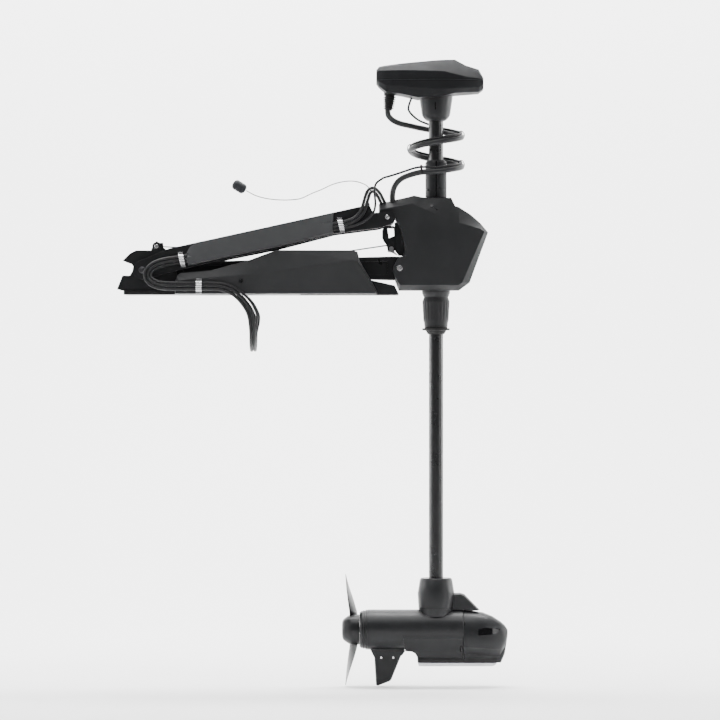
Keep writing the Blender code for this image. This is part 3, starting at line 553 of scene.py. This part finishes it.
def pull_cord():
    """The thin cord with its grip, and the guide where it leaves the arm."""
    route = [(268, -65, 222.6), (270, -62, 238), (278, -58, 254), (266, -57, 271), (244, -57, 280),
             (224, -57, 282), (201, -57, 279), (180, -55, 273), (155, -52, 261.5), (129, -50, 251),
             (106.5, -48, 240.5), (91, -46, 237), (65.5, -44, 235.5), (40, -42, 236.5),
             (14.5, -40, 240), (-11, -38, 247.5), (-33.5, -36, 259.2)]
    points = catmull(route, 3)
    cord = use(tube_mesh("pull_cord_wire", points, 1.24, 14), WIRE, "upper_arm", ["pull_cord"])
    profile = [(-18, 0), (-17.9, 3.2), (-17.3, 6.4), (-15.8, 9.2), (-13.6, 11.3), (-10.8, 12.6),
               (-8, 12.95), (-5.4, 12.95), (-4.9, 12.4), (-3.9, 12.4), (-3.4, 12.95), (3.4, 12.95),
               (3.9, 12.4), (4.9, 12.4), (5.4, 12.95), (8, 12.95), (10.8, 12.6), (13.6, 11.3),
               (15.8, 9.2), (17.3, 6.4), (17.9, 3.2), (18, 0)]
    grip = turned("pull_grip", profile, (0, 0, 0), "X", 40)
    grip.data.transform(Matrix.Rotation(math.radians(32), 4, "Y"))
    grip.data.transform(Matrix.Translation((-50.5 * MM, -36 * MM, 269 * MM)))
    use(grip, HANDLE, "upper_arm", ["pull_handle"])
    ferrule = turned("cord_guide", [(220.6, 1.8), (220.6, 6.4), (222, 6.8), (226, 5.6), (229.5,
                                                                                         4.0),
                                    (231, 3.2), (231, 1.8)], (268, -65, 0), "Z", 32, True)
    use(ferrule, MOULDED, "upper_arm")


# ------------------------------------------------------------ fixed cables

UPPER_TURNS = [(78, 412), (45, 404), (0, 395), (-45, 387), (-90, 379), (-135, 370), (-180, 361),
               (-225, 351), (-270, 341)]
LOWER_TURNS = [(-270, 341), (-315, 331), (-360, 321), (-405, 313), (-450, 306)]


def helix(turns, lift=0.0):
    """Points round the shaft from (angle in degrees, height) pairs."""
    return [(SHAFT_X + COIL_RADIUS * math.cos(math.radians(angle)),
             COIL_RADIUS * math.sin(math.radians(angle)), z + lift) for angle, z in turns]


def coil_cables():
    """The coiled cable with the thin sonar cable on top of it, each in two blended parts."""
    upper = [(319.3, 0, 468), (319.6, 0.5, 453), (323, 5, 446), (333, 10, 437), (350, 20, 430),
             (376, 36, 425), (404, 52, 420)]
    upper += helix(UPPER_TURNS)
    lower = helix(LOWER_TURNS)
    lower += [(404, -64, 304), (374, -61, 297), (350, -56, 286), (336, -49, 269), (331, -42, 250),
              (331, -40, 231)]
    thin = [(380, -10, 496), (371, -8, 468), (376, 0, 455), (393, 20, 441), (415, 44, 432)]
    thin += helix(UPPER_TURNS, THIN_CABLE_LIFT)
    thin_low = helix(LOWER_TURNS, THIN_CABLE_LIFT)
    thin_low += [(404, -67, 316.5), (385, -69, 313.5), (362, -71, 306), (335, -73, 297),
                 (308, -75, 289)]
    thin_arm = [(308, -75, 289), (290, -79, 275), (286, -82, 254), (288, -83, 222),
                (281, -82, 199), (262, -81, 182), (240, -79, 171.5), (222, -77, 167),
                (208, -75.6, 164.3)]
    top = use(cable("coil_upper_jacket", upper, COIL_DIAMETER, COIL_SPACING), COIL)
    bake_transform(top)
    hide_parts("coil_cable_upper")
    low = use(cable("coil_lower_jacket", lower, COIL_DIAMETER, COIL_SPACING), COIL)
    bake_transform(low)
    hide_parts("coil_cable_lower")
    top = use(cable("sonar_upper_jacket", thin, THIN_DIAMETER), JACKET)
    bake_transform(top)
    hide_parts("sonar_cable_upper")
    low = use(cable("sonar_lower_jacket", thin_low, THIN_DIAMETER), JACKET)
    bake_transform(low)
    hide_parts("sonar_cable_lower")
    last = use(cable("sonar_arm_jacket", thin_arm, THIN_DIAMETER), JACKET)
    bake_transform(last)


def cable_ties():
    """Ties that hold the thin cable to the coil: (middle, direction of the cable) of each."""
    spots = [((503, 10, 398.5), (0.25, 1, -0.16)), ((376.5, -4, 364.5), (0.1, -1, -0.16)),
             ((402.5, -65.4, 309.5), (-1, 0, -0.06)), ((503, 10, 325), (0.25, 1, -0.16))]
    half_width, half_thick, steps = 2.6, 0.7, 36
    half_across, above, below = 8.1, 12.2, 9.4
    section = ((-half_width, -half_thick), (half_width, -half_thick),
               (half_width, half_thick), (-half_width, half_thick))
    for number, (place, along) in enumerate(spots):
        tangent = Vector(along).normalized()
        up = (Vector((0, 0, 1)) - tangent * tangent.z).normalized()
        out = tangent.cross(up)
        points, faces = [], []
        for k in range(steps):
            angle = 2 * math.pi * k / steps
            tall = above if math.sin(angle) > 0 else below
            middle = (Vector(place) + out * (half_across * math.cos(angle))
                      + up * (tall * math.sin(angle)))
            away = (out * math.cos(angle) + up * math.sin(angle)).normalized()
            points += [tuple(middle + tangent * a + away * b) for a, b in section]
        for k in range(steps):
            here, following = k * 4, (k + 1) % steps * 4
            for i in range(4):
                j = (i + 1) % 4
                faces.append([here + i, here + j, following + j, following + i])
        use(solid("coil_tie_%d" % number, points, faces, 40), RUBBER, "drive_sleeve_body")


def supply_leads():
    """The three leads along the arm, round its root, and the loop into the housing."""
    c = CHANNEL_Y
    d = CLAMPED_Y
    start, end = (-192, 85.6), (203, 171.0)
    line = [(start[0] + (end[0] - start[0]) * t, -c, start[1] + (end[1] - start[1]) * t)
            for t in (0, 0.25, 0.5, 0.75, 1)]
    flipped = [(-offset, radius) for offset, radius in TRIPLE]
    use(bonded("arm_leads", line, 30, flipped), JACKET, "upper_arm", ["arm_lead_ribbon"])
    back = [(-192.5, -c, 85.5), (-208, -c, 83.5), (-232, -c, 80), (-256, -80, 72), (-271, -85, 60),
            (-275, -88, 46), (-266, -92, 32), (-247, -d, 24), (-224, -d, 21.5), (-190, -d, 21),
            (-148.6, -d, 21)]
    lead = use(bonded("root_leads", back, 5, TRIPLE), JACKET)
    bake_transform(lead)
    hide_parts("root_lead_ribbon")
    loop = [(203.6, -c, 175.2), (219, -c, 178.5), (240, -c, 188), (256, -c, 206), (264, -c, 231),
            (271, -c, 252), (281, -70, 260), (294, -58, 252), (306, -42, 231), (309, -38, 225)]
    lead = use(bonded("loop_leads", loop, 4, TWIN), JACKET)
    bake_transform(lead)
    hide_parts("loop_power_lead")


def straps():
    """The bright clamps that hold the leads on the base and the arm."""
    c = CHANNEL_Y
    d = CLAMPED_Y
    low = [(12.5, 4), (21, 4), (28.5, 3)]
    for node, sign in (("base_cable_clamp", -1), ("far_cable_clip", 1)):
        strap = lobed_strap(node + "_strap", -156, -142, low, d, 90.35, sign)
        use(strap, STRAP, "deck_mount", [node])
    for node, x, z in (("arm_clamp_lower", -192.0, 85.6), ("arm_clamp_upper", 203.0, 171.0)):
        cores = [(z + 8.7, 4), (z, 4), (z - 7.7, 3)]
        strap = lobed_strap(node + "_strap", x - 6, x + 6, cores, c, 70.35, -1, -0.22)
        use(strap, STRAP, "upper_arm", [node])


def rods():
    """The release wire from the lever bracket to the lower link, and the rod of the stow latch."""
    wire = [(325.5, -31, 124.4), (300, -31.5, 120.4), (262, -32.5, 114.8), (222.8, -33.5, 108.8),
            (170, -34.5, 100.5), (140, -35.2, 94), (128, -35.6, 86), (122, -35.8, 74)]
    obj = use(cable("release_wire", wire, 3.4), WIRE)
    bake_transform(obj)
    rod = use(cable("latch_rod", [(-243, -52.5, 119.5), (-230, -52.5, 118.6), (-217, -52.5, 118),
                                  (-206, -52.5, 117.6)],
                    3.0), BRACKET, "stow_latch_body")
    soften(rod, 0.2, 1)


DRIVE = ["nose_cone", "keel"]
# Outlines of dark patches: painted shade for the slots, recess, notches and vent, and the collar's
# dark seam line.
MARKS = [
    ("nose_slot", "shaft", DRIVE,
     [(543.5, -833), (563, -829), (600, -833), (590, -845), (545, -847.6)]),
    ("keel_recess", "shaft", DRIVE, [(396, -904.4), (598, -904.4), (586, -917.4), (396, -917.4)]),
    ("nose_notch", "shaft", DRIVE, [(509, -812.5), (512, -812.5), (510.5, -822), (508.6, -823)]),
    ("keel_notch", "shaft", DRIVE, [(499, -875.5), (503.8, -876.5), (503.2, -890.5), (499,
                                                                                      -889.5)]),
    ("housing_vent", "housing", ["steering_housing"],
     [(424.7, 223.7), (429.8, 225), (432.4, 219.1), (438.8, 213), (444.4, 210.5), (440.8, 209.7),
      (434.2, 216.8), (426, 216.8)]),
    ("collar_line", "shaft", ["motor_collar"],
     [(SHAFT_X - 42, -780.5), (SHAFT_X + 42, -780.5), (SHAFT_X + 42, -781.3),
      (SHAFT_X - 42, -781.3)]),
]


def marks():
    """Dark patches on both sides: painted shade for recesses, slots, notches and the vent too
    small for the solids, and a dark seam line.
    """
    for side, sign in (("near", -1), ("far", 1)):
        for name, body, nodes, outline in MARKS:
            surface_patch(name + "_" + side, outline, nodes, sign, PAINTED_SHADE_AND_SEAM, body)


ROUNDED = {
    "nose_cone": (UNIT, "shaft", 38, 2.0), "motor_collar": (UNIT, "shaft", 32, 1.0),
    "skeg": (UNIT, "shaft", 25, 0.8),
    "keel": (UNIT, "shaft", 32, 0.6), "head_cover": (HEAD, "shaft", 24, 4.0),
    "head_lower": (HEAD, "shaft", 24, 2.5),
    "steering_housing": (HOUSING, "housing", 26, 2.0),
    "side_cover_near": (COVER, "deck_mount", 20, 1.2),
    "side_cover_far": (COVER, "deck_mount", 20, 1.2),
    "arm_cover_near": (ARM, "upper_arm", 20, 1.2),
    "arm_cover_far": (ARM, "upper_arm", 20, 1.2),
    "shaft_rest_pad": (RUBBER, "deck_mount", 25, 0.8),
}


def rounded_parts():
    """Smooth copies of the moulded parts, in place of the faceted solids."""
    for node, (material, body, angle, bevel) in ROUNDED.items():
        rounded_copy(node + "_skin", node, material, body, angle, bevel)


# ------------------------------------------------------------ fasteners

def socket_screw(name, centre, axis, radius, height, socket=0.5):
    """A screw head with a recess, its underside at the centre, facing along the signed axis."""
    sign = 1 if axis[0] == "+" else -1
    profile = [(0, 0), (0, radius), (height - 0.7, radius), (height, radius - 0.7),
               (height, radius * socket), (height * 0.4, radius * socket), (height * 0.4, 0)]
    return turned(name, [(sign * a, r) for a, r in profile], centre, axis[1], 36, smooth=30)


def screws(name, spots, axis, radius, height, material, body):
    """One piece of equal screw heads at the spots."""
    parts = [socket_screw("screw", spot, axis, radius, height) for spot in spots]
    return use(joined(name, parts), material, body)


def fasteners():
    """Screws and bolts, on both sides."""
    for side, sign, axis in (("near", -1, "-Y"), ("far", 1, "+Y")):
        face = 90.1 * sign
        screws("cover_screws_" + side,
               [(212, face - sign * 2.5, 72), (-45, face, 34), (-182, face - sign * 1, 20)],
               axis, 6.0, 2.2, BRACKET, "deck_mount")
        screws("base_bolts_" + side, [(x, 48 * sign, 10.2) for x in (-170, -30, 70)], "+Z", 6.2,
               4.5, STEEL,
               "deck_mount")
        screws("collar_screws_" + side, [(SHAFT_X + 9, 24.2 * sign, z) for z in (329, 268)]
               + [(SHAFT_X - 19.5, 17.4 * sign, 261)], axis, 2.7, 1.5, BRACKET, "collar")
        screws("skeg_screws_" + side, [(x, 5.2 * sign, -905.6) for x in (303, 333)], axis, 3.0,
               5.0, STEEL, "shaft")


def pins():
    """Headed pivot pins, shown in place of the plain bars."""
    for name, node, centre, r, half, body, finish in (
            ("arm_root_pin_shown", "arm_root_pin", ARM_ROOT, 8.0, 72.4, "deck_mount", DARK_PIN),
            ("arm_tip_pin_shown", "arm_tip_pin", ARM_TIP, 5.4, 72.0, "upper_arm", STEEL),
            ("link_tip_pin_shown", "link_tip_pin", LINK_TIP, 7.3, 58.5, "housing", STEEL)):
        side = [(-half, 0), (-half, r * 0.25), (-half + 0.8, r * 0.35), (-half + 0.8, r * 0.5),
                (-half, r * 0.6), (-half, r - 0.9), (-half + 0.9, r)]
        profile = side + [(-a, b) for a, b in reversed(side)]
        use(turned(name, profile, (centre[0], 0, centre[1]), "Y", 48), finish, body, [node])
    boss = [(-60.5, 9.2), (-60.5, 14.5), (-58.3, 15.5), (-58.3, 9.2)]
    use(turned("root_boss", boss, (ARM_ROOT[0], 0, ARM_ROOT[1]), "Y", 40, True), BRACKET,
        "deck_mount")


# ------------------------------------------------------------ turned parts

def shaft_parts():
    """The shaft, its depth collar, the head's neck and the cable boot."""
    profile = [(-774.8, 15.2), (-774.8, 18), (499.8, 18), (499.8, 15.2)]
    use(turned("shaft_skin", profile, (SHAFT_X, 0, 0), "Z", 96, True), SHAFT, "shaft",
        ["shaft_tube"])
    profile = [(243.1, 18.4), (243.1, 25.4), (244.2, 26.6), (262, 26.6), (262.6, 26.1),
               (264, 26.1), (264.6, 26.6), (329, 26.6), (331, 25.6), (336, 22.4), (337, 21.4),
               (337, 18.4)]
    use(turned("depth_collar_skin", profile, (SHAFT_X, 0, 0), "Z", 72, True), MOULDED, "collar",
        ["depth_collar"])
    # A thin dark sheet on the collar: painted shade where the slit's gap would be.
    slit = prism("painted_collar_slit_shade", [(438.4, 246), (441.6, 246), (441.6, 334), (438.4, 334)], -26.75,
                 -26.5, 0.0)
    use(slit, PAINTED_SHADE_AND_SEAM, "collar")
    profile = [(434.6, 18.4), (434.6, 20.5), (435.6, 23), (438.6, 27.6), (443, 31.6),
               (448.5, 34.6), (454, 36), (488, 41), (494, 41.5), (501.3, 41.5), (501.3, 18.4)]
    use(turned("neck_skin", profile, (SHAFT_X, 0, 0), "Z", 80, True), UNIT, "shaft", ["head_neck"])
    # A thin dark sheet on the neck: painted shade where the slit's gap would be.
    slit = prism("painted_neck_slit_shade", [(436.4, 461), (438.6, 461), (438.6, 480), (436.4, 480)], -40.2,
                 -36.4, 0.0)
    use(slit, PAINTED_SHADE_AND_SEAM, "shaft")
    ribs = [(505, 0), (505, 15.6), (499, 15.6), (498, 12)]
    for k in range(6):
        z = 495.5 - 5.4 * k
        r = 15.4 - 0.6 * k
        ribs += [(z, r - 3.2), (z - 0.4, r), (z - 3.0, r), (z - 3.4, r - 3.2)]
    ribs += [(462, 8.8), (461, 7.6), (461, 0)]
    relief = turned("strain_relief_boot", ribs, (321, 0, 0), "Z", 40)
    for vertex in relief.data.vertices:
        vertex.co.x -= (0.461 - vertex.co.z) * 0.1
    use(relief, RUBBER, "shaft", ["strain_relief"])
    sleeve_parts()


def sleeve_parts():
    """The fluted lower sleeve and the wiper under it."""
    flutes = 22
    profile = [(10.6, 35.4), (4, 35.0), (2, 33.4), (-3, 32.5), (-4.5, 30.5), (-6, 30.2), (-16, 34),
               (-18, 34.1), (-22, 33.8), (-58, 31.9), (-63.5, 31.5), (-70, 29.8), (-79, 29)]
    rings = []
    steps = flutes * 6
    for z, radius in profile:
        ring = []
        for i in range(steps):
            angle = 2 * math.pi * i / steps
            wave = 0.5 - 0.5 * math.cos(angle * flutes)
            depth = 1.3 * wave ** 3 if -60 < z < -17 else 0.0
            ring.append((SHAFT_X + (radius - depth) * math.cos(angle),
                         (radius - depth) * math.sin(angle), z))
        rings.append(ring)
    rings.append([(SHAFT_X + 21.3 * math.cos(2 * math.pi * i / steps),
                   21.3 * math.sin(2 * math.pi * i / steps), -79)
                  for i in range(steps)])
    use(loft("fluted_sleeve", rings, 50), HOUSING, "housing", ["lower_bearing_sleeve"])
    profile = [(-98, 18.3), (-97.6, 20.6), (-96.4, 21.6), (-90, 25.2), (-88.6, 26), (-88.2, 33.6),
               (-87.4, 34.5), (-84.4, 34.5), (-83.5, 33.7), (-83, 28.6), (-79.2, 28.6),
               (-79.2, 21), (241, 21), (241, 18.3)]
    use(turned("drive_sleeve_skin", profile, (SHAFT_X, 0, 0), "Z", 72, True), RUBBER,
        "drive_sleeve_body",
        ["drive_sleeve"])


def drive_parts():
    """The motor's tube with its rear rings, and the propeller."""
    profile = [(249.05, 7), (249.05, 42.6), (250, 43.6), (254, 46.5), (255, 46.9), (255.4, 45.9),
               (256.6, 45.9), (257, 47.3), (261, 48.2), (261.4, 47.2), (263.6, 47.2), (264, 49.2),
               (267, 49.8), (267.5, 49.2), (269, 49.2), (269.5, 50), (506.5, 50), (507.9, 49),
               (507.9, 46), (262, 46), (262, 7)]
    use(turned("motor_tube_skin", profile, (0, 0, MOTOR_Z), "X", 96, True), UNIT, "shaft",
        ["motor_tube"])
    blades()


def blades():
    """The hub with its two blades, from (radius, chord, thickness, twist, sweep) stations."""
    profile = [(204.6, 0), (204.6, 12), (204.9, 17), (206, 21.5), (208, 25.4), (212, 29),
               (218, 33), (223, 36), (226, 37.4), (230, 38), (240, 38), (246, 37.9), (248.8, 37.6),
               (248.95, 37), (248.95, 0)]
    parts = [turned("hub", profile, (0, 0, MOTOR_Z), "X", 80)]
    stations = ((24, 32, 8, 50, 235.5), (34, 39, 7, 56, 234.4), (45, 44, 6, 62, 233),
                (58, 47, 5.4, 67, 230.2), (70, 50, 5, 71, 227.5), (82, 51.5, 4.4, 75, 224.8),
                (92, 52, 4, 78, 222.5), (103, 49, 3.5, 80.5, 220),
                (114, 44, 3, 83, 218), (123, 36, 2.6, 85, 216.4), (130, 26, 2.2, 86, 215.3),
                (135, 16, 1.8, 87, 214.5), (137.7, 8, 1.4, 88, 214))
    for turn in (1, -1):
        rings = []
        for radius, chord, thick, twist, sweep in stations:
            a = math.radians(twist)
            ring = []
            for k in range(24):
                t = 2 * math.pi * k / 24
                u = -0.5 * math.cos(t)
                fullness = 0.6 + 0.4 * math.sqrt(max(0, 0.25 - u * u)) * 2
                v = 0.5 * math.sin(t) * fullness * (1.1 - 0.5 * u)
                x = chord * u * math.cos(a) * 0.9 + thick * v * math.sin(a)
                y = chord * u * math.sin(a) - thick * v * math.cos(a) + radius * 0.08
                ring.append((sweep + x, turn * y, MOTOR_Z + turn * radius))
            rings.append(ring)
        parts.append(loft("blade", rings, 60))
    use(joined("propeller_skin", parts), PROP, "prop", ["propeller"])
    nut = turned("prop_cap", [(203.9, 0), (203.9, 5), (204.5, 6.6), (205.2, 7.2), (205.2, 0)],
                 (0.6, 0, MOTOR_Z), "X", 36)
    use(nut, UNIT, "prop")


# ------------------------------------------------------------ CAD nodes that stay

KEPT = {
    "base_plate": (CASTING, 1.2), "base_rail_near": (CASTING, 1.0),
    "base_rail_far": (CASTING, 1.0),
    "cradle_cheek_near": (CASTING, 1.2), "cradle_cheek_far": (CASTING, 1.2),
    "cradle_saddle": (CASTING, 1.5),
    "stow_latch_lever": (BRACKET, 0.6), "stow_latch_pin": (STEEL, 0.4),
    "arm_beam_near": (CASTING, 1.0),
    "arm_beam_far": (CASTING, 1.0), "arm_bridge": (CASTING, 1.0),
    "release_bracket": (BRACKET, 0.5),
    "release_lever": (SLEEVE, 0.4), "link_rail_near": (BRACKET, 0.7),
    "link_rail_far": (BRACKET, 0.7),
    "link_root_axle": (SLEEVE, 0.4), "skid_plate": (ALLOY, 1.0), "motor_rotor": (STEEL, 0.4),
}


def finish_kept():
    """Materials and softened edges for the CAD nodes that stay visible."""
    for name, (material, bevel) in KEPT.items():
        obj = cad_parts[name]
        obj.data.materials.clear()
        obj.data.materials.append(material)
        weld = obj.modifiers.new("weld", "WELD")
        weld.merge_threshold = 2e-6
        soften(obj, bevel, 3 if bevel > 1 else 2)


# ------------------------------------------------------------ stage and lights

def stage():
    """A plain pale floor that curves up into a wall far behind the part."""
    profile = [(-7.0, FLOOR_M), (SWEEP_START_M, FLOOR_M)] + [
        (SWEEP_START_M + SWEEP_RADIUS_M * math.sin(math.radians(a)),
         FLOOR_M + SWEEP_RADIUS_M - SWEEP_RADIUS_M * math.cos(math.radians(a)))
        for a in range(6, 91, 6)] + [(SWEEP_START_M + SWEEP_RADIUS_M, 6.0)]
    points = [(x * 1000, y * 1000, z * 1000) for x in (-9.0, 9.5) for y, z in profile]
    n = len(profile)
    faces = [[i, i + 1, n + i + 1, n + i] for i in range(n - 1)]
    floor = solid("studio_floor", points, faces, 40)
    nodes = Nodes("studio_paper")
    paper = nodes.ramp(nodes.noise(0.6, 3), [(0.3, (0.9, 0.9, 0.9)), (0.7, (0.93, 0.93, 0.93))])
    nodes.link(paper, nodes.shader.inputs["Base Color"])
    nodes.shader.inputs["Roughness"].default_value = 0.9
    # See-through from behind, so that a view from the back isn't walled off.
    behind = nodes.add("ShaderNodeNewGeometry").outputs["Backfacing"]
    clear = nodes.add("ShaderNodeBsdfTransparent").outputs["BSDF"]
    both = nodes.add("ShaderNodeMixShader")
    nodes.link(behind, both.inputs["Fac"])
    nodes.link(clear, both.inputs[1])
    nodes.link(nodes.shader.outputs["BSDF"], both.inputs[2])
    nodes.link(both.outputs["Shader"], nodes.tree.nodes["Material Output"].inputs["Surface"])
    floor.data.materials.append(nodes.material)


def light(name, place, target, size, power, tall=None, glint=1.0):
    """A soft box at a place in metres, facing the target."""
    data = bpy.data.lights.new(name, "AREA")
    data.shape = "RECTANGLE"
    data.size = size
    data.size_y = tall or size
    data.energy = power
    data.specular_factor = glint
    obj = bpy.data.objects.new(name, data)
    obj.location = place
    obj.rotation_euler = (Vector(target) - Vector(place)).to_track_quat("-Z", "Y").to_euler()
    bpy.context.scene.collection.objects.link(obj)


def lights():
    light("top", (0.1, -0.9, 3.4), (0.25, 0.1, 0), 3.0, 170, glint=0.2)
    light("key", (-2.4, -3.8, 3.0), (0.2, 0, 0), 1.4, 62, 2.0)
    light("right_strip", (3.4, -1.8, 0.4), (0.3, 0, -0.2), 0.5, 40, 3.2)
    light("left_strip", (-2.9, -1.0, 0.2), (0.3, 0, -0.3), 0.5, 26, 3.0)
    light("wall_top", (0.2, 1.0, 3.4), (0.2, 3.2, -0.2), 5.0, 720, 1.4)
    light("wall_left", (-4.6, 1.0, 0.6), (1.0, 3.2, -0.2), 1.2, 220, 2.6)
    light("wall_right", (5.0, 1.0, 0.6), (-0.6, 3.2, -0.2), 1.2, 220, 2.6)
    world = bpy.data.worlds.new("studio")
    world.use_nodes = True
    sky = world.node_tree.nodes["Background"]
    sky.inputs["Color"].default_value = (1, 1, 1, 1)
    sky.inputs["Strength"].default_value = 0.2
    bpy.context.scene.world = world


supply_cords()
pull_cord()
coil_cables()
cable_ties()
supply_leads()
straps()
rods()
marks()
rounded_parts()
fasteners()
pins()
shaft_parts()
drive_parts()
finish_kept()
stage()
lights()
